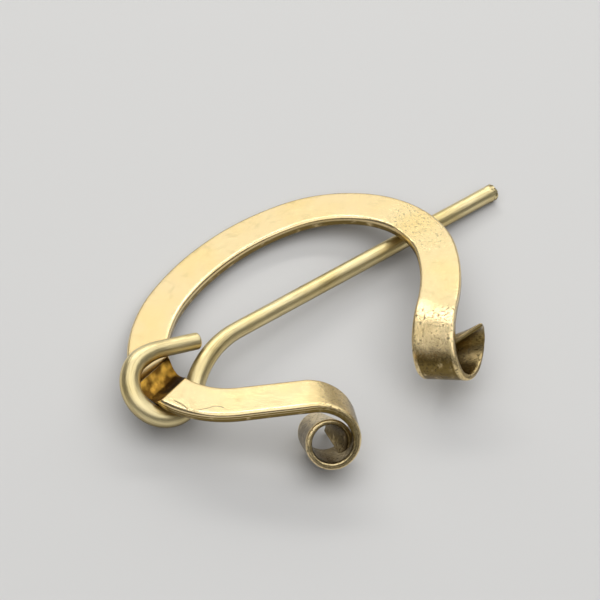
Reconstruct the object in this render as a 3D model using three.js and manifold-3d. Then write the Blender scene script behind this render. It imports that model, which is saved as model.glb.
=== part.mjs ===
// An open ring brooch in brass, lying loose: a flat bar bent into a horseshoe ring with
// rolled ends, and a wire pin looped round it. Millimetres, +Z up, the pin's shaft along +X.

import * as THREE from 'three';
import { mergeVertices } from 'three/addons/utils/BufferGeometryUtils.js';
import Module from 'manifold-3d';

// Bar of the ring
const barWidth = 5.0;
const barThickness = 1.4;
const barEdgeRadius = 0.45;
const beatenThickness = 0.6;

// Edgewise bends of the bar from the middle of its back: [length, turn towards the gap in degrees]
const tipSideBends = [[10.1, 20.8], [9.8, 38.8], [13.8, 64.8], [9.4, 20.4]];
const loopSideBends = [[10.3, 17.8], [10.3, 28.1], [17.7, 94.6], [8.0, -1.0]];

// Rolled ends: how sharply the strip turns at even steps along it, in degrees over its whole length
const tipSideScroll = {
    length: 23.9,
    endWidth: 6.5,
    roll: [45.4, 250.9, 430.2, 499.5, 346.5],
    edgewise: [-14.1, 5.7, 89.4],
    twist: [-39.7, -44.2, -216.5],
};
const loopSideScroll = {
    length: 30.0,
    endWidth: 7.0,
    roll: [294, 327, 513, 651, 675],
    edgewise: [-24, -3.9, 141.3],
    twist: [-114.9, 61.2, 65.4],
};

// Where the loop sits: along the bar from the middle of its back, then off the bar's middle
const loopDistance = 27.2;
const loopOutwards = 0.13;

// Saddle filed across the bar under the loop, turned a little from square towards the arm's end
const saddleWidth = 4.2;
const saddleDepth = 0.85;
const saddleTurn = 17.7;

// Wire of the pin
const shaftRadius = 1.05;
const loopWireRadius = 1.25;
const shaftLength = 42.2;
const kneeRadius = 13.5;
const kneeTurn = 47.0;
const loopRadius = 4.1;
const loopTurn = 219.8;
const loopEndRadius = 8.3;
const loopEndTurn = 21.4;
const tailLength = 5.1;

// How the pin lies against the ring's flat: its bent plane is turned about the shaft's line,
// the shaft falls towards the tip, and it is turned from the line of the ring's back
const pinLean = 39.5;
const pinFall = 5.1;
const pinTurn = -2.7;

// How the brooch rests, on the loop-side scroll, the outer edge of its back and the pin's tip,
// as turns of the ring's flat about X, Y and Z
const restTurns = [-15.72, 0.44, 4.0];

// Fineness of the solids
const flatStep = 1.5;
const scrollStep = 0.55;
const cornerSteps = 2;
const wireSides = 14;
const wireStep = 1.2;
const saddleSides = 48;

const radians = THREE.MathUtils.degToRad;
const brass = new THREE.MeshStandardMaterial({ color: 0xd9bd85, metalness: 1.0, roughness: 0.3 });

// The value at a share of the way along a list of evenly spaced values
function valueAlong(values, share) {
    const place = THREE.MathUtils.clamp(share, 0, 1) * (values.length - 1);
    const index = Math.min(Math.floor(place), values.length - 2);
    return THREE.MathUtils.lerp(values[index], values[index + 1], place - index);
}

// Move a frame (at, along, up, out) a short way, turning it at the given rates in degrees per mm
function advance(frame, distance, rates) {
    const turning = new THREE.Vector3()
        .addScaledVector(frame.out, -rates.roll)
        .addScaledVector(frame.up, rates.edgewise)
        .addScaledVector(frame.along, rates.twist)
        .multiplyScalar(frame.side);
    const rate = turning.length();
    const axis = rate > 0 ? turning.clone().divideScalar(rate) : frame.up.clone();
    const half = new THREE.Quaternion().setFromAxisAngle(axis, radians(rate * distance) / 2);
    const middle = frame.along.clone().applyQuaternion(half);
    return {
        at: frame.at.clone().addScaledVector(middle, distance),
        along: middle.clone().applyQuaternion(half),
        up: frame.up.clone().applyQuaternion(half).applyQuaternion(half),
        out: frame.out.clone().applyQuaternion(half).applyQuaternion(half),
        side: frame.side,
    };
}

// Stations along one arm of the ring, from the middle of the back to its rolled end
function armStations(side, bends, scroll) {
    let frame = {
        at: new THREE.Vector3(),
        along: new THREE.Vector3(-side, 0, 0),
        up: new THREE.Vector3(0, 0, 1),
        out: new THREE.Vector3(0, 1, 0),
        side,
    };
    const stations = [{ ...frame, distance: 0, width: barWidth, thickness: barThickness }];
    let distance = 0;
    for (const [length, turn] of bends) {
        const steps = Math.max(2, Math.round(length / flatStep));
        for (let i = 0; i < steps; i++) {
            frame = advance(frame, length / steps, { roll: 0, edgewise: turn / length, twist: 0 });
            distance += length / steps;
            stations.push({ ...frame, distance, width: barWidth, thickness: barThickness });
        }
    }
    const steps = Math.round(scroll.length / scrollStep);
    for (let i = 0; i < steps; i++) {
        const share = (i + 0.5) / steps;
        frame = advance(frame, scroll.length / steps, {
            roll: valueAlong(scroll.roll, share) / scroll.length,
            edgewise: valueAlong(scroll.edgewise, share) / scroll.length,
            twist: valueAlong(scroll.twist, share) / scroll.length,
        });
        distance += scroll.length / steps;
        const done = (i + 1) / steps;
        stations.push({
            ...frame,
            distance,
            width: THREE.MathUtils.lerp(barWidth, scroll.endWidth, done),
            thickness: valueAlong([barThickness, 1.0, 0.8, beatenThickness], done),
        });
    }
    return stations;
}

// Outline of the bar's section at a station: a rectangle with round corners under the top face
function barSection({ at, up, out, width, thickness }) {
    const radius = Math.min(barEdgeRadius, 0.45 * thickness);
    const points = [];
    const corners = [[1, 0], [-1, 0], [-1, -1], [1, -1]];
    corners.forEach(([across, height], quarter) => {
        const cx = across * (width / 2 - radius);
        const cy = height === 0 ? -radius : -thickness + radius;
        for (let i = 0; i <= cornerSteps; i++) {
            const angle = Math.PI / 2 * (quarter + i / cornerSteps);
            points.push(at.clone()
                .addScaledVector(out, cx + radius * Math.cos(angle))
                .addScaledVector(up, cy + radius * Math.sin(angle)));
        }
    });
    return points;
}

// A closed body through a row of sections with the same number of points
function loft(sections) {
    const count = sections[0].length;
    const positions = sections.flat().flatMap((point) => point.toArray());
    const faces = [];
    for (let i = 0; i + 1 < sections.length; i++) {
        for (let j = 0; j < count; j++) {
            const a = i * count + j;
            const b = i * count + (j + 1) % count;
            faces.push(a, b, a + count, b, b + count, a + count);
        }
    }
    for (const [ring, flip] of [[0, true], [sections.length - 1, false]]) {
        const centre = new THREE.Vector3();
        sections[ring].forEach((point) => centre.addScaledVector(point, 1 / count));
        const middle = positions.length / 3;
        positions.push(...centre.toArray());
        for (let j = 0; j < count; j++) {
            const a = ring * count + j;
            const b = ring * count + (j + 1) % count;
            faces.push(...(flip ? [b, a, middle] : [a, b, middle]));
        }
    }
    const geometry = new THREE.BufferGeometry();
    geometry.setAttribute('position', new THREE.Float32BufferAttribute(positions, 3));
    geometry.setIndex(faces);
    return geometry;
}

// Solids for cutting
const wasm = await Module();
wasm.setup();

function solidOf(geometry) {
    const bare = geometry.clone();
    bare.deleteAttribute('normal');
    bare.deleteAttribute('uv');
    const merged = mergeVertices(bare);
    return new wasm.Manifold(new wasm.Mesh({
        numProp: 3,
        vertProperties: new Float32Array(merged.attributes.position.array),
        triVerts: new Uint32Array(merged.index.array),
    }));
}

function geometryOf(solid) {
    const mesh = solid.getMesh();
    const geometry = new THREE.BufferGeometry();
    geometry.setAttribute('position', new THREE.Float32BufferAttribute(mesh.vertProperties, 3));
    geometry.setIndex(Array.from(mesh.triVerts));
    geometry.computeVertexNormals();
    return geometry;
}

// The ring's frame has its origin on the top face at the middle of the back, its outside along +Y
const tipArm = armStations(-1, tipSideBends, tipSideScroll);
const loopArm = armStations(1, loopSideBends, loopSideScroll);

// The place on the loop-side arm at a distance along the bar
function placeOnArm(distance) {
    const next = loopArm.findIndex((station) => station.distance >= distance);
    const share = (distance - loopArm[next - 1].distance)
        / (loopArm[next].distance - loopArm[next - 1].distance);
    const between = (key) => loopArm[next - 1][key].clone().lerp(loopArm[next][key], share);
    return {
        at: between('at'),
        along: between('along').normalize(),
        up: between('up').normalize(),
        out: between('out').normalize(),
    };
}

// Cutter for the saddle: a cylinder lying across the bar, as wide at the top face as the saddle
function saddleCutter() {
    const saddle = placeOnArm(loopDistance);
    const radius = (saddleWidth ** 2 / 4 + saddleDepth ** 2) / (2 * saddleDepth);
    const cylinder = new THREE.CylinderGeometry(radius, radius, 2 * barWidth, saddleSides);
    const across = new THREE.Matrix4().makeBasis(saddle.along, saddle.out, saddle.up.clone().negate());
    cylinder.rotateZ(-radians(saddleTurn));
    cylinder.applyMatrix4(across);
    const centre = saddle.at.clone().addScaledVector(saddle.up, radius - saddleDepth);
    cylinder.translate(centre.x, centre.y, centre.z);
    return cylinder;
}

function ringGeometry() {
    const stations = [...loopArm.slice(1).reverse(), ...tipArm];
    const bar = solidOf(loft(stations.map(barSection)));
    return geometryOf(bar.subtract(solidOf(saddleCutter())));
}

// Middle line of the pin in its own flat plane, from the tip to the tail, tip at the origin
function pinLine() {
    const points = [{ x: 0, y: 0, heading: 180, radius: shaftRadius }];
    const run = (length, turn, endRadius) => {
        const steps = Math.max(2, Math.round(length / wireStep), Math.round(Math.abs(turn) / 12));
        const startRadius = points.at(-1).radius;
        for (let i = 1; i <= steps; i++) {
            const last = points.at(-1);
            const middle = radians(last.heading + turn / steps / 2);
            points.push({
                x: last.x + length / steps * Math.cos(middle),
                y: last.y + length / steps * Math.sin(middle),
                heading: last.heading + turn / steps,
                radius: THREE.MathUtils.lerp(startRadius, endRadius, i / steps),
            });
        }
    };
    const arc = (radius, turn, endRadius) => run(radius * radians(Math.abs(turn)), turn, endRadius);
    run(shaftLength, 0, shaftRadius);
    arc(kneeRadius, kneeTurn, loopWireRadius);
    points.at(-1).loop = true;
    arc(loopRadius, -loopTurn, loopWireRadius);
    arc(loopEndRadius, -loopEndTurn, shaftRadius);
    run(tailLength, 0, shaftRadius);
    return points;
}

// Centre of the loop, in the pin's plane
function loopCentre() {
    const start = pinLine().find((point) => point.loop);
    const side = radians(start.heading - 90);
    return new THREE.Vector3(
        start.x + loopRadius * Math.cos(side),
        start.y + loopRadius * Math.sin(side),
        0,
    );
}

function pinGeometry() {
    return loft(pinLine().map(({ x, y, heading, radius }) => {
        const section = [];
        for (let i = 0; i < wireSides; i++) {
            const angle = 2 * Math.PI * i / wireSides;
            const across = radius * Math.cos(angle);
            section.push(new THREE.Vector3(
                x - across * Math.sin(radians(heading)),
                y + across * Math.cos(radians(heading)),
                radius * Math.sin(angle),
            ));
        }
        return section;
    }));
}

const ring = new THREE.Mesh(ringGeometry(), brass.clone());
ring.name = 'ring';

const pin = new THREE.Mesh(pinGeometry(), brass.clone());
pin.name = 'pin';
pin.rotation.set(radians(pinLean), radians(pinFall), radians(pinTurn), 'ZYX');
const hold = placeOnArm(loopDistance);
pin.position.copy(hold.at)
    .addScaledVector(hold.up, -barThickness / 2)
    .addScaledVector(hold.out, loopOutwards)
    .sub(loopCentre().applyEuler(pin.rotation));

// Lay the brooch down
const brooch = new THREE.Group();
brooch.add(ring, pin);
const rest = new THREE.Quaternion().setFromEuler(new THREE.Euler(...restTurns.map(radians), 'ZYX'));
for (const piece of [ring, pin]) {
    piece.position.applyQuaternion(rest);
    piece.quaternion.premultiply(rest);
}

// Set the origin in the middle of the brooch's box, on the table
const box = new THREE.Box3().setFromObject(brooch, true);
const middle = box.getCenter(new THREE.Vector3()).setZ(box.min.z);
ring.position.sub(middle);
pin.position.sub(middle);

export default brooch;
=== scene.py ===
import math

import bmesh
import bpy
from mathutils import Matrix, Quaternion, Vector, noise


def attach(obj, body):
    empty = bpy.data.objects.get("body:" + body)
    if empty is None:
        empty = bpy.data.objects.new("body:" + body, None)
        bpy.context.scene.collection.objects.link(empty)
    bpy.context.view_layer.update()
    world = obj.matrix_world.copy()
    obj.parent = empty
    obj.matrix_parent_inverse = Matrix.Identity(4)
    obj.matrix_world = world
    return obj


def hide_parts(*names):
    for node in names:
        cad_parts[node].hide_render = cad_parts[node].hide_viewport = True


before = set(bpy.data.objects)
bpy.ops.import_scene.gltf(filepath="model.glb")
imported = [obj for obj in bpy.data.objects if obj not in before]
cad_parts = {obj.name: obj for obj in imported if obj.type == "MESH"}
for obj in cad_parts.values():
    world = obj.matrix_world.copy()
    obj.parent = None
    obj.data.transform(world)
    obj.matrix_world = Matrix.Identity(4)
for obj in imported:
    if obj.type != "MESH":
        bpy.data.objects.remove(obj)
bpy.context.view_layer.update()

MM = 0.001

# Seen from above, the loop-side arm of the ring turns anticlockwise and the tip-side arm clockwise
LOOP_SIDE = 1
TIP_SIDE = -1

# Bar of the ring, in millimetres. Thicknesses are those along a scroll, and corners are shares of its section
BAR_WIDTH = 5.0
BAR_THICKNESSES = (1.4, 1.0, 0.8, 0.6)
BAR_STEP = 0.2
CORNER_ACROSS = 0.075
CORNER_UP = 0.27
CORNER_STEPS = 5
TOP_STEPS = 16
UNDERSIDE_STEPS = 12
BAR_END_SOFTNESS = 0.12

# Edgewise bends from the middle of the back, as lengths and turns in degrees
TIP_SIDE_BENDS = ((10.1, 20.8), (9.8, 38.8), (13.8, 64.8), (9.4, 20.4))
LOOP_SIDE_BENDS = ((10.3, 17.8), (10.3, 28.1), (17.7, 94.6), (8.0, -1.0))

# Scrolls, with their turns in degrees a millimetre at even distances
TIP_SIDE_SCROLL = {
    "length": 23.9, "end_width": 6.5, "roll": (1.9, 10.5, 18.0, 20.9, 14.5),
    "edgewise": (-0.59, 0.24, 3.74), "twist": (-1.66, -1.85, -9.06),
}
LOOP_SIDE_SCROLL = {
    "length": 30.0, "end_width": 7.0, "roll": (9.8, 10.9, 17.1, 21.7, 22.5),
    "edgewise": (-0.8, -0.13, 4.71), "twist": (-3.83, 2.04, 2.18),
}

# Saddle filed across the loop-side arm, in its third bend
SADDLE_BEND = LOOP_SIDE_BENDS[2]
SADDLE_DISTANCE = 27.2
SADDLE_WIDTH = 4.2
SADDLE_DEPTH = 0.85
SADDLE_TURN = math.radians(17.7)
SADDLE_MARGIN = 0.2
SADDLE_REACH = 8.0
FILE_MARKS = 0.02

# Relief of the bar's skin, in millimetres
BAR_WAVER = 0.015
DENTS = 0.045
POCKS = 0.016

# How fast hammering sets in along a scroll, and how much more the skin moves up than out
HAMMERING_RISE = 5.0
FLAT_FACE_LEAN = 2.2

# Burr left on the inner edge of the shoulder, measured along the tip-side arm and round the section
BURR_DISTANCE = 28.3
BURR_REACH = 2.6
BURR_FADE = 3.0
BURR_PLACE = 5.0
BURR_WIDTH = 0.22
BURR_UP = 0.07
BURR_INWARDS = 0.20

# Wire of the pin, from the tip to the tail: each run's length, its turn in degrees and its radius at the end
SHAFT_RADIUS = 1.05
LOOP_WIRE_RADIUS = 1.25
PIN_RUNS = (
    (42.2, 0.0, SHAFT_RADIUS),
    (13.5 * math.radians(47.0), 47.0, LOOP_WIRE_RADIUS),
    (4.1 * math.radians(219.8), -219.8, LOOP_WIRE_RADIUS),
    (8.3 * math.radians(21.4), -21.4, SHAFT_RADIUS),
    (5.1, 0.0, SHAFT_RADIUS),
)
TIP_HEADING = 180.0
WIRE_SIDES = 36
WIRE_STEP = 0.3
FEWEST_WIRE_STEPS = 4
WIRE_WAVER = 0.018
TORN_TIP = 0.9
TORN_TIP_FULL = 0.5
TORN_RELIEF = 0.16
TIP_SOFTNESS = 0.13
TAIL_SOFTNESS = 0.28

# Places of the ring and the pin on the table
RING_PLACE = Matrix.LocRotScale(
    Vector((-3.9858, 16.7582, 1.906)), Quaternion((0.989976, -0.136801, -0.000971, 0.035096)), None)
PIN_PLACE = Matrix.LocRotScale(
    Vector((30.1048, 4.1713, 1.0278)), Quaternion((0.977852, 0.205386, 0.039449, -0.008142)), None)


def mix(a, b, share):
    return a + (b - a) * share


def value_along(values, share):
    """The value at a share of the way along evenly spaced values."""
    place = min(max(share, 0.0), 1.0) * (len(values) - 1)
    index = min(int(place), len(values) - 2)
    return mix(values[index], values[index + 1], place - index)


# The bar's line

class Station:
    """A place on the bar: its frame, how far it is from the middle of the back, and its section."""

    def __init__(self, at, along, up, out, distance=0.0, beaten=0.0, end_width=BAR_WIDTH):
        self.at = at
        self.along = along
        self.up = up
        self.out = out
        self.distance = distance
        self.beaten = beaten
        self.width = mix(BAR_WIDTH, end_width, beaten)
        self.thickness = value_along(BAR_THICKNESSES, beaten)

    def moved(self, side, length, roll, edgewise, twist, beaten, end_width):
        """The next place, a length further, with turns in degrees a millimetre."""
        turning = side * (self.up * edgewise - self.out * roll + self.along * twist)
        rate = turning.length
        axis = turning / rate if rate > 1e-9 else self.up
        half = Quaternion(axis, math.radians(rate * length) / 2)
        middle = half @ self.along
        return Station(
            self.at + middle * length, half @ middle, half @ (half @ self.up), half @ (half @ self.out),
            self.distance + length, beaten, end_width)

    def matrix(self):
        """From the unit section (across, up, backwards) to this place."""
        backwards = -self.along
        return Matrix((
            (self.out.x * self.width, self.up.x * self.thickness, backwards.x, self.at.x),
            (self.out.y * self.width, self.up.y * self.thickness, backwards.y, self.at.y),
            (self.out.z * self.width, self.up.z * self.thickness, backwards.z, self.at.z),
            (0.0, 0.0, 0.0, 1.0)))


def arm_stations(side, bends, scroll):
    """Places along one arm of the ring, from the middle of the back to the end of the scroll."""
    station = Station(
        Vector((0, 0, 0)), Vector((-side, 0, 0)), Vector((0, 0, 1)), Vector((0, 1, 0)))
    stations = [station]
    for length, turn in bends:
        steps = round(length / BAR_STEP)
        for _ in range(steps):
            station = station.moved(side, length / steps, 0.0, turn / length, 0.0, 0.0, BAR_WIDTH)
            stations.append(station)
    steps = round(scroll["length"] / BAR_STEP)
    for i in range(steps):
        share = (i + 0.5) / steps
        station = station.moved(
            side, scroll["length"] / steps,
            value_along(scroll["roll"], share),
            value_along(scroll["edgewise"], share),
            value_along(scroll["twist"], share),
            (i + 1) / steps, scroll["end_width"])
        stations.append(station)
    return stations


tip_arm = arm_stations(TIP_SIDE, TIP_SIDE_BENDS, TIP_SIDE_SCROLL)
loop_arm = arm_stations(LOOP_SIDE, LOOP_SIDE_BENDS, LOOP_SIDE_SCROLL)
saddle = min(loop_arm, key=lambda station: abs(station.distance - SADDLE_DISTANCE))


# The ring

def bar_outline():
    """Outline of the bar with round corners, one wide and one thick, as (across, up) from the outer side."""
    edge = 0.5 - CORNER_ACROSS
    points = []
    for across, up, start in ((1, 0, 0), (-1, 0, 90), (-1, -1, 180), (1, -1, 270)):
        middle_across = across * edge
        middle_up = -CORNER_UP if up == 0 else -1.0 + CORNER_UP
        for i in range(CORNER_STEPS + 1):
            angle = math.radians(start + 90 * i / CORNER_STEPS)
            points.append((
                middle_across + CORNER_ACROSS * math.cos(angle), middle_up + CORNER_UP * math.sin(angle)))
        if (across, up) == (1, 0):
            points += [(mix(edge, -edge, i / TOP_STEPS), 0.0) for i in range(1, TOP_STEPS)]
        elif (across, up) == (-1, -1):
            points += [(mix(-edge, edge, i / UNDERSIDE_STEPS), -1.0) for i in range(1, UNDERSIDE_STEPS)]
    return points


def sweep(bm, outline, size, placings, values):
    """Draw an outline of a size along placings by extruding its edges.

    The along and beaten values are kept at each ring of points, and the distance round the outline at each
    point. The first and last edges, the rings and the whole distance round are given back.
    """
    along_layer = bm.verts.layers.float.new("along")
    round_layer = bm.verts.layers.float.new("round")
    beaten_layer = bm.verts.layers.float.new("beaten")
    bm.verts.layers.float.new("saddle")
    bm.loops.layers.uv.new("strip")
    verts = [bm.verts.new((x, y, 0.0)) for x, y in outline]
    edges = [bm.edges.new((verts[i], verts[(i + 1) % len(verts)])) for i in range(len(verts))]
    span = 0.0
    for i, vert in enumerate(verts):
        vert[round_layer] = span
        following = outline[(i + 1) % len(outline)]
        span += math.hypot((following[0] - outline[i][0]) * size[0], (following[1] - outline[i][1]) * size[1])
    bmesh.ops.transform(bm, matrix=placings[0], verts=verts)
    for vert in verts:
        vert[along_layer], vert[beaten_layer] = values[0]
    first = edges
    rings = [verts]
    for place, (before, after) in enumerate(zip(placings, placings[1:]), start=1):
        grown = bmesh.ops.extrude_edge_only(bm, edges=edges)["geom"]
        verts = [part for part in grown if isinstance(part, bmesh.types.BMVert)]
        new = set(verts)
        edges = [part for part in grown if isinstance(part, bmesh.types.BMEdge) and new.issuperset(part.verts)]
        bmesh.ops.transform(bm, matrix=after @ before.inverted(), verts=verts)
        for vert in verts:
            vert[along_layer], vert[beaten_layer] = values[place]
        rings.append(verts)
    return first, edges, rings, span


def close_end(bm, edges, softness):
    """Fill an open end flat and soften its rim."""
    bmesh.ops.edgeloop_fill(bm, edges=edges)
    bmesh.ops.bevel(
        bm, geom=edges, offset=softness, segments=3, profile=0.5, affect="EDGES", material=-1,
        clamp_overlap=True)


def bar_relief(distance, round_place, beaten):
    """How far the bar's skin stands out, in millimetres: a slow waver, and hammer marks where beaten."""
    slow = noise.noise(Vector((distance * 0.16, round_place * 0.3, 3.0)))
    hammered = min(1.0, beaten * HAMMERING_RISE)
    dents = noise.noise(Vector((distance * 0.7, round_place * 0.6, 10.0)))
    pocks = noise.noise(Vector((distance * 1.9, round_place * 1.7, 14.0)))
    return BAR_WAVER * slow + hammered * (DENTS * dents + POCKS * pocks)


def cut_saddle(station, ring, saddle_layer):
    """Slide a ring of points in line with the slanting saddle, then lower those that it cuts away."""
    bend_length, bend_turn = SADDLE_BEND
    bend_radius = bend_length / math.radians(bend_turn)
    centre = saddle.at - saddle.out * bend_radius
    past = station.distance - saddle.distance
    edge = SADDLE_WIDTH / 2 + SADDLE_MARGIN
    nearness = min(1.0, (SADDLE_REACH - abs(past)) / (SADDLE_REACH - edge))
    held = max(-edge, min(edge, past)) / bend_radius
    across = saddle.out * math.cos(SADDLE_TURN) + saddle.along * math.sin(SADDLE_TURN)
    lengthwise = saddle.along * math.cos(SADDLE_TURN) - saddle.out * math.sin(SADDLE_TURN)
    radius = (SADDLE_WIDTH ** 2 / 4 + SADDLE_DEPTH ** 2) / (2 * SADDLE_DEPTH)
    for vert in ring:
        arm = vert.co - centre
        reach = math.hypot(arm.dot(saddle.along), arm.dot(saddle.out))
        wanted = SADDLE_TURN + math.asin(bend_radius * math.sin(held - SADDLE_TURN) / reach)
        vert.co = centre + Quaternion(saddle.up, nearness * (wanted - held)) @ arm
        offset = vert.co - saddle.at
        run = offset.dot(lengthwise)
        if abs(run) < SADDLE_WIDTH / 2:
            floor = radius - SADDLE_DEPTH - math.sqrt(radius ** 2 - run ** 2)
            floor += FILE_MARKS * noise.noise(Vector((run * 2.5, offset.dot(across) * 0.6, 9.0)))
            height = offset.dot(saddle.up)
            if height > floor:
                vert.co += saddle.up * (floor - height)
                vert[saddle_layer] = 1.0


def raise_burr(station, ring, round_layer):
    """Push a thin burr out of the inner edge of the shoulder."""
    fullness = min(1.0, BURR_FADE * (1.0 - abs(station.distance - BURR_DISTANCE) / BURR_REACH))
    for vert in ring:
        nearness = 1.0 - abs(vert[round_layer] - BURR_PLACE) / BURR_WIDTH
        if nearness > 0.0:
            vert.co += (station.up * BURR_UP - station.out * BURR_INWARDS) * fullness * nearness


def make_ring():
    """The bar swept from the loop-side scroll to the tip-side one, with its relief, saddle and burr."""
    bm = bmesh.new()
    stations = [(LOOP_SIDE, station) for station in loop_arm[1:][::-1]]
    stations += [(TIP_SIDE, station) for station in tip_arm]
    placings = [station.matrix() for _, station in stations]
    values = [(-side * station.distance, station.beaten) for side, station in stations]
    first, last, rings, span = sweep(
        bm, bar_outline(), (BAR_WIDTH, BAR_THICKNESSES[0]), placings, values)
    along_layer = bm.verts.layers.float["along"]
    round_layer = bm.verts.layers.float["round"]
    saddle_layer = bm.verts.layers.float["saddle"]
    for (side, station), ring in zip(stations, rings):
        middle = station.at - station.up * station.thickness / 2
        for vert in ring:
            outward = vert.co - middle
            upward = station.up * outward.dot(station.up) * FLAT_FACE_LEAN
            outward = upward + station.out * outward.dot(station.out)
            vert.co += outward.normalized() * bar_relief(vert[along_layer], vert[round_layer], station.beaten)
        if side == LOOP_SIDE and abs(station.distance - saddle.distance) < SADDLE_REACH:
            cut_saddle(station, ring, saddle_layer)
        if side == TIP_SIDE and abs(station.distance - BURR_DISTANCE) < BURR_REACH:
            raise_burr(station, ring, round_layer)
    close_end(bm, first, BAR_END_SOFTNESS)
    close_end(bm, last, BAR_END_SOFTNESS)
    bmesh.ops.recalc_face_normals(bm, faces=bm.faces)
    bmesh.ops.transform(bm, matrix=Matrix.Scale(MM, 4) @ RING_PLACE, verts=bm.verts)
    return bm, span


# The pin

def pin_line():
    """Places along the wire in the pin's own plane, from the tip to the tail."""
    x, y, heading, radius, distance = 0.0, 0.0, TIP_HEADING, SHAFT_RADIUS, 0.0
    line = [(x, y, heading, radius, distance)]
    for length, turn, end_radius in PIN_RUNS:
        start_radius = radius
        steps = max(FEWEST_WIRE_STEPS, round(length / WIRE_STEP))
        for i in range(steps):
            middle = math.radians(heading + turn / steps / 2)
            x += length / steps * math.cos(middle)
            y += length / steps * math.sin(middle)
            heading += turn / steps
            radius = mix(start_radius, end_radius, (i + 1) / steps)
            distance += length / steps
            line.append((x, y, heading, radius, distance))
    return line


def make_pin():
    """The wire swept from the tip to the tail, with a slow waver and a torn tip."""
    bm = bmesh.new()
    angles = [2 * math.pi * i / WIRE_SIDES for i in range(WIRE_SIDES)]
    outline = [(math.cos(angle), math.sin(angle)) for angle in angles]
    placings = []
    values = []
    line = pin_line()
    for x, y, heading, radius, distance in line:
        turn = math.radians(heading)
        across = Vector((-math.sin(turn), math.cos(turn), 0.0)) * radius
        along = Vector((math.cos(turn), math.sin(turn), 0.0))
        placings.append(Matrix((
            (across.x, 0.0, along.x, x), (across.y, 0.0, along.y, y),
            (0.0, radius, 0.0, 0.0), (0.0, 0.0, 0.0, 1.0))))
        values.append((distance, 0.0))
    first, last, rings, span = sweep(bm, outline, (SHAFT_RADIUS, SHAFT_RADIUS), placings, values)
    for (x, y, _, _, distance), ring in zip(line, rings):
        middle = Vector((x, y, 0.0))
        for vert in ring:
            outward = (vert.co - middle).normalized()
            place = outward * 1.4 + Vector((distance * 0.22, 0.0, 5.0))
            vert.co += outward * WIRE_WAVER * noise.noise(place)
            if distance < TORN_TIP:
                vert.co += outward * TORN_RELIEF * noise.noise(vert.co * 2.2)
    close_end(bm, first, TIP_SOFTNESS)
    close_end(bm, last, TAIL_SOFTNESS)
    bmesh.ops.recalc_face_normals(bm, faces=bm.faces)
    bmesh.ops.transform(bm, matrix=Matrix.Scale(MM, 4) @ PIN_PLACE, verts=bm.verts)
    return bm, span


def finish_piece(shape, name, material, node):
    """Make an object of a swept shape, with distances along and round it as its UV."""
    bm, span = shape
    mesh = bpy.data.meshes.new(name)
    along_layer = bm.verts.layers.float["along"]
    round_layer = bm.verts.layers.float["round"]
    strip = bm.loops.layers.uv["strip"]
    for face in bm.faces:
        face.smooth = True
        crossing = max(vert[round_layer] for vert in face.verts) > 0.75 * span
        for loop in face.loops:
            place = loop.vert[round_layer]
            if crossing and place < 0.25 * span:
                place += span
            loop[strip].uv = (loop.vert[along_layer], place)
    bm.to_mesh(mesh)
    bm.free()
    mesh.materials.append(material)
    piece = bpy.data.objects.new(name, mesh)
    bpy.context.scene.collection.objects.link(piece)
    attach(piece, node)
    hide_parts(node)


# Nodes of the finishes

def new_material(name):
    material = bpy.data.materials.new(name)
    material.use_nodes = True
    nodes = material.node_tree.nodes
    nodes.clear()
    output = nodes.new("ShaderNodeOutputMaterial")
    shader = nodes.new("ShaderNodeBsdfPrincipled")
    shader.inputs["Metallic"].default_value = 1.0
    material.node_tree.links.new(shader.outputs["BSDF"], output.inputs["Surface"])
    return material, shader


def add(material, kind, **settings):
    """A node with properties (lower case) and sockets (title case, or I and a number), linked or set."""
    node = material.node_tree.nodes.new(kind)
    for key, value in settings.items():
        if key[0].islower():
            setattr(node, key, value)
    for key, value in settings.items():
        if key[0].islower():
            continue
        numbered = key[0] == "I" and key[1:].isdigit()
        socket = node.inputs[int(key[1:])] if numbered else node.inputs[key.replace("_", " ")]
        if isinstance(value, bpy.types.NodeSocket):
            material.node_tree.links.new(value, socket)
        else:
            socket.default_value = value
    return node


def ramp(material, source, low, high):
    """Source mapped from low..high onto 0..1, smoothly."""
    node = add(
        material, "ShaderNodeMapRange", interpolation_type="SMOOTHSTEP", Value=source, From_Min=low,
        From_Max=high)
    return node.outputs["Result"]


def maths(material, operation, *values):
    sockets = {f"I{place}": value for place, value in enumerate(values)}
    return add(material, "ShaderNodeMath", operation=operation, **sockets).outputs["Value"]


def scaled(material, value, factor):
    return maths(material, "MULTIPLY", value, factor)


def between(material, value, start, full, full_end, end):
    """One from full to full_end, falling to nothing at start and end."""
    rise = ramp(material, value, start, full)
    fall = ramp(material, value, end, full_end)
    return maths(material, "MULTIPLY", rise, fall)


def blend(material, share, a, b):
    """Colour a turning into colour b."""
    return add(material, "ShaderNodeMix", data_type="RGBA", I0=share, I6=a, I7=b).outputs[2]


def stretched(material, source, scales, detail, roughness):
    """Noise on some coordinates, stretched by scales."""
    mapping = add(material, "ShaderNodeMapping", Vector=source, Scale=scales)
    return add(
        material, "ShaderNodeTexNoise", Vector=mapping.outputs["Vector"], Scale=1.0, Detail=detail,
        Roughness=roughness).outputs["Fac"]


def solid_noise(material, scale, detail):
    """Noise through the metal, even in all directions."""
    source = add(material, "ShaderNodeTexCoord").outputs["Object"]
    return stretched(material, source, (scale, scale, scale), detail, 0.5)


def strip_noise(material, along_scale, round_scale, detail, roughness=0.5):
    """Noise on the skin, with its own scales along the bar or wire and round it."""
    source = add(material, "ShaderNodeUVMap", uv_map="strip").outputs["UV"]
    return stretched(material, source, (along_scale, round_scale, 1.0), detail, roughness)


def attribute(material, name):
    return add(material, "ShaderNodeAttribute", attribute_name=name).outputs["Fac"]


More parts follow.
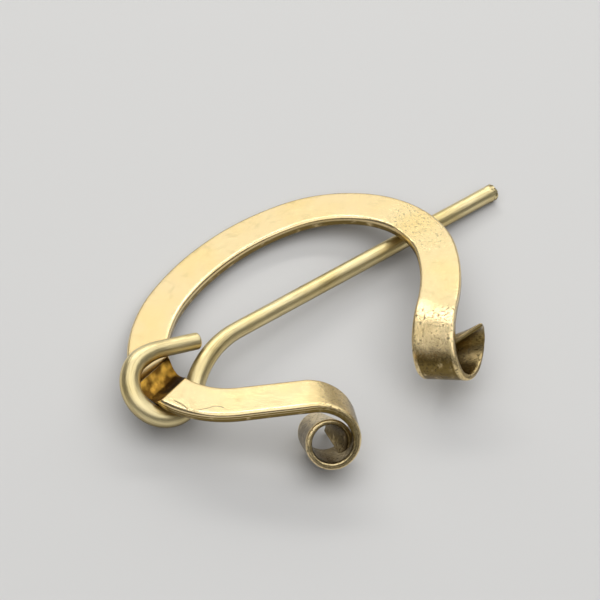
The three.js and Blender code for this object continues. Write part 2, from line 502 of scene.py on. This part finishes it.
def facing_down(material, start, full):
    """How far the skin has turned from facing up, as the piece lies."""
    normal = add(material, "ShaderNodeTexCoord").outputs["Normal"]
    height = add(material, "ShaderNodeSeparateXYZ", Vector=normal).outputs["Z"]
    return ramp(material, height, start, full)


def skin(material, marks):
    """The normal left by marks one over another, each a height, a strength, a depth in mm and its sinking."""
    under = {}
    for height, strength, depth, sunk in marks:
        bump = add(
            material, "ShaderNodeBump", invert=sunk, Height=height, Strength=strength, Distance=depth * MM,
            **under)
        under = {"Normal": bump.outputs["Normal"]}
    return under["Normal"]


def dress(material, shader, colour, roughness, normal):
    for name, source in (("Base Color", colour), ("Roughness", roughness), ("Normal", normal)):
        material.node_tree.links.new(source, shader.inputs[name])


# Finishes

BRIGHT_BRASS = (0.91, 0.725, 0.41, 1.0)
WARM_BRASS = (0.86, 0.66, 0.32, 1.0)
WIRE_BRASS = (0.86, 0.73, 0.41, 1.0)
WIRE_SHADE = (0.76, 0.61, 0.28, 1.0)
DULL_BRASS = (0.38, 0.27, 0.09, 1.0)
# Olive used as painted shade where the skin faces down and inside the scrolls
PAINTED_SHADE_OLIVE = (0.15, 0.098, 0.018, 1.0)
DARK_BRASS = (0.07, 0.045, 0.015, 1.0)
# Saddle colours: painted shade in the filed hollow, and gold for patches of painted reflection
SADDLE_GLINT_GOLD = (0.62, 0.35, 0.055, 1.0)
SADDLE_SHADE = (0.105, 0.05, 0.008, 1.0)

# Places round the bar, in millimetres from the outer side over the top face: start, full, full end, end
OUTER_CORNER_END = 0.80
OUTER_CORNER_FULL = 0.52
INNER_CORNER = (4.6, 4.8, 5.45, 5.7)
UNDERSIDE = (5.6, 6.6, 10.9, 11.6)

# Places along the bar, in millimetres from the middle of the back, less than nothing on the loop side
SHOULDER = (22.0, 25.0, 31.0, 35.0)
HAIRLINE = (-37.0, -36.0, -31.0, -30.0)

# How strongly each mark shows
BAR_STAINS = 0.12
# The next two set the olive painted shade inside the scrolls and on the bar
SCROLL_PAINTED_SHADE = 0.7
BAR_PAINTED_SHADE = 0.92
SCROLL_PITS = 0.85
SHOULDER_PITS = 0.36
HAIRLINE_STRENGTH = 0.3
WIRE_LINES = 0.36
# The next one sets the olive painted shade on the wire
WIRE_PAINTED_SHADE = 0.85
CUT_END_SPECKS = 0.8

# Roughness of the brass, and what its marks add to it
BAR_ROUGHNESS = 0.20
CLOUD_ROUGHNESS = 0.07
# Roughness added where the olive painted shade is
PAINTED_SHADE_ROUGHNESS = 0.03
SADDLE_ROUGHNESS = 0.08
WIRE_ROUGHNESS = 0.27
HANDLING_ROUGHNESS = 0.16


def hairline(material, along, round_place):
    """A fine wavy line along the top face of the loop-side arm, past the saddle."""
    waver = add(
        material, "ShaderNodeTexNoise", noise_dimensions="1D", W=along, Scale=0.35, Detail=0.0).outputs["Fac"]
    middle = scaled(material, waver, 2.2)
    apart = maths(material, "ABSOLUTE", maths(material, "SUBTRACT", round_place, middle))
    line = ramp(material, apart, 0.11, 0.02)
    return maths(material, "MULTIPLY", line, between(material, along, *HAIRLINE))


def bar_finish():
    """Polished brass: olive painted shade where it faces down and inside the scrolls, pitted where it was
    beaten, and in the saddle painted shade with golden patches of painted reflection.
    """
    material, shader = new_material("bar_brass")
    along = attribute(material, "along")
    round_place = attribute(material, "round")
    beaten = attribute(material, "beaten")
    saddle_share = attribute(material, "saddle")
    hammered = ramp(material, beaten, 0.01, 0.09)
    shoulder = between(material, along, *SHOULDER)

    cloud = solid_noise(material, 140.0, detail=4.0)
    fine_cloud = solid_noise(material, 900.0, detail=5.0)
    scratch = strip_noise(material, 0.4, 11.0, detail=6.0, roughness=0.7)
    cross_scratch = strip_noise(material, 9.0, 0.8, detail=6.0, roughness=0.7)
    pits = strip_noise(material, 3.0, 3.0, detail=3.0, roughness=0.65)
    grain = strip_noise(material, 6.0, 6.0, detail=5.0, roughness=0.7)
    patches = strip_noise(material, 0.55, 1.1, detail=5.0, roughness=0.65)
    glow = strip_noise(material, 0.32, 0.4, detail=4.0)
    filing = strip_noise(material, 7.0, 0.5, detail=6.0, roughness=0.7)

    colour = blend(material, ramp(material, cloud, 0.35, 0.75), BRIGHT_BRASS, WARM_BRASS)
    stain = scaled(material, ramp(material, fine_cloud, 0.52, 0.7), BAR_STAINS)
    colour = blend(material, stain, colour, DULL_BRASS)

    # Painted shade: olive darkening on faces turned down and on the undersides inside the scrolls, in patches,
    # kept off the rounded corners so that they stay bright
    scroll_underside = maths(
        material, "MULTIPLY", between(material, round_place, *UNDERSIDE), ramp(material, beaten, -0.05, 0.25))
    painted_shade = maths(
        material, "MAXIMUM", facing_down(material, 0.74, 0.40),
        scaled(material, scroll_underside, SCROLL_PAINTED_SHADE))
    painted_shade = maths(material, "MULTIPLY", painted_shade, ramp(material, patches, 0.80, 0.52))
    corner_without_shade = maths(
        material, "MAXIMUM", ramp(material, round_place, OUTER_CORNER_END, OUTER_CORNER_FULL),
        between(material, round_place, *INNER_CORNER))
    painted_shade = maths(material, "MULTIPLY", painted_shade, maths(material, "SUBTRACT", 1.0, corner_without_shade))
    colour = blend(material, scaled(material, painted_shade, BAR_PAINTED_SHADE), colour, PAINTED_SHADE_OLIVE)

    pitted_share = maths(
        material, "MAXIMUM", scaled(material, hammered, SCROLL_PITS),
        scaled(material, shoulder, SHOULDER_PITS))
    speck = maths(material, "MULTIPLY", ramp(material, pits, 0.55, 0.64), pitted_share)
    colour = blend(material, speck, colour, DARK_BRASS)
    hair = hairline(material, along, round_place)
    colour = blend(material, scaled(material, hair, HAIRLINE_STRENGTH), colour, DARK_BRASS)
    # Painted shade and reflection in the saddle: dark brown with random golden patches standing in for its
    # reflections
    saddle_shade_and_glint = blend(material, ramp(material, glow, 0.47, 0.66), SADDLE_SHADE, SADDLE_GLINT_GOLD)
    colour = blend(material, saddle_share, colour, saddle_shade_and_glint)

    rough = maths(
        material, "MULTIPLY_ADD", ramp(material, cloud, 0.3, 0.75), CLOUD_ROUGHNESS, BAR_ROUGHNESS)
    rough = maths(material, "ADD", rough, scaled(material, painted_shade, PAINTED_SHADE_ROUGHNESS))
    rough = maths(material, "ADD", rough, scaled(material, saddle_share, SADDLE_ROUGHNESS))

    normal = skin(material, (
        (scratch, 0.32, 0.03, False),
        (cross_scratch, 0.12, 0.02, False),
        (maths(material, "MULTIPLY", grain, hammered), 0.35, 0.08, False),
        (maths(material, "MAXIMUM", speck, hair), 0.6, 0.06, True),
        (maths(material, "MULTIPLY", filing, saddle_share), 0.35, 0.06, False)))
    dress(material, shader, colour, rough, normal)
    return material


def wire_finish():
    """Drawn brass wire: fine lines along it, olive painted shade where it faces down, and dark specks on the
    cut tip.
    """
    material, shader = new_material("wire_brass")
    cloud = solid_noise(material, 160.0, detail=4.0)
    specks = solid_noise(material, 2500.0, detail=3.0)
    draw_lines = strip_noise(material, 0.2, 4.2, detail=4.0, roughness=0.65)
    handling = strip_noise(material, 1.8, 2.6, detail=6.0, roughness=0.7)
    cut_end = ramp(material, attribute(material, "along"), TORN_TIP, TORN_TIP_FULL)

    colour = blend(material, ramp(material, cloud, 0.35, 0.7), WIRE_BRASS, WIRE_SHADE)
    lines = scaled(material, ramp(material, draw_lines, 0.5, 0.62), WIRE_LINES)
    colour = blend(material, lines, colour, DULL_BRASS)
    # Painted shade: the wire is darkened to olive where it faces down
    painted_shade = scaled(material, facing_down(material, 0.35, -0.35), WIRE_PAINTED_SHADE)
    colour = blend(material, painted_shade, colour, PAINTED_SHADE_OLIVE)
    cut_specks = maths(material, "MULTIPLY", cut_end, ramp(material, specks, 0.45, 0.6))
    colour = blend(material, scaled(material, cut_specks, CUT_END_SPECKS), colour, DARK_BRASS)

    rough = maths(material, "MULTIPLY_ADD", handling, HANDLING_ROUGHNESS, WIRE_ROUGHNESS)
    normal = skin(material, (
        (draw_lines, 0.7, 0.07, False),
        (handling, 0.07, 0.04, False)))
    dress(material, shader, colour, rough, normal)
    return material


finish_piece(make_ring(), "ring_bar", bar_finish(), "ring")
finish_piece(make_pin(), "pin_wire", wire_finish(), "pin")


# Studio

def make_floor():
    bm = bmesh.new()
    bmesh.ops.create_grid(bm, x_segments=1, y_segments=1, size=1.5)
    mesh = bpy.data.meshes.new("floor")
    bm.to_mesh(mesh)
    bm.free()
    material = bpy.data.materials.new("pale_floor")
    material.use_nodes = True
    shader = material.node_tree.nodes["Principled BSDF"]
    shader.inputs["Base Color"].default_value = (0.66, 0.655, 0.645, 1.0)
    shader.inputs["Roughness"].default_value = 0.85
    shader.inputs["Specular IOR Level"].default_value = 0.2
    mesh.materials.append(material)
    floor = bpy.data.objects.new("floor", mesh)
    bpy.context.scene.collection.objects.link(floor)


def soft_light(name, towards, distance, size, power, colour=(1.0, 1.0, 1.0), shine=True):
    """A rectangular light that faces the origin, in metres and watts, seen in reflections if it has shine."""
    lamp = bpy.data.lights.new(name, "AREA")
    lamp.shape = "RECTANGLE"
    lamp.size, lamp.size_y = size
    lamp.energy = power
    lamp.color = colour
    lamp_object = bpy.data.objects.new(name, lamp)
    direction = Vector(towards).normalized()
    lamp_object.location = direction * distance
    lamp_object.rotation_euler = direction.to_track_quat("Z", "Y").to_euler()
    lamp_object.visible_glossy = shine
    bpy.context.scene.collection.objects.link(lamp_object)


make_floor()
soft_light(
    "window", towards=(0.43, 0.78, 0.47), distance=0.6, size=(0.62, 0.36), power=0.64,
    colour=(1.0, 0.99, 0.95))
soft_light(
    "bright_strip", towards=(0.36, 0.62, 0.68), distance=0.62, size=(0.5, 0.08), power=0.75,
    colour=(1.0, 0.99, 0.96))
soft_light("ceiling", towards=(-0.10, -0.14, 1.0), distance=0.7, size=(1.2, 1.1), power=4.9)
soft_light("right", towards=(1.0, 0.15, 0.65), distance=0.7, size=(0.5, 0.5), power=0.75)
soft_light("floor_fill", towards=(0.0, -0.1, 1.0), distance=0.9, size=(0.9, 0.9), power=1.2, shine=False)

world = bpy.data.worlds.new("studio")
world.use_nodes = True
background = world.node_tree.nodes["Background"]
background.inputs["Color"].default_value = (0.55, 0.56, 0.58, 1.0)
background.inputs["Strength"].default_value = 0.20
bpy.context.scene.world = world
bpy.context.scene.view_settings.view_transform = "Standard"

camera = bpy.data.cameras.new("camera")
camera.sensor_width = 36.0
camera.lens = 270.6
camera.clip_start = 0.01
camera.clip_end = 10.0
camera_object = bpy.data.objects.new("camera", camera)
camera_object.location = Vector((-248.1325, -234.8155, 437.7169)) * MM
camera_object.rotation_mode = "QUATERNION"
camera_object.rotation_quaternion = Quaternion((0.893488, 0.292348, -0.148356, -0.306923))
bpy.context.scene.collection.objects.link(camera_object)
bpy.context.scene.camera = camera_object
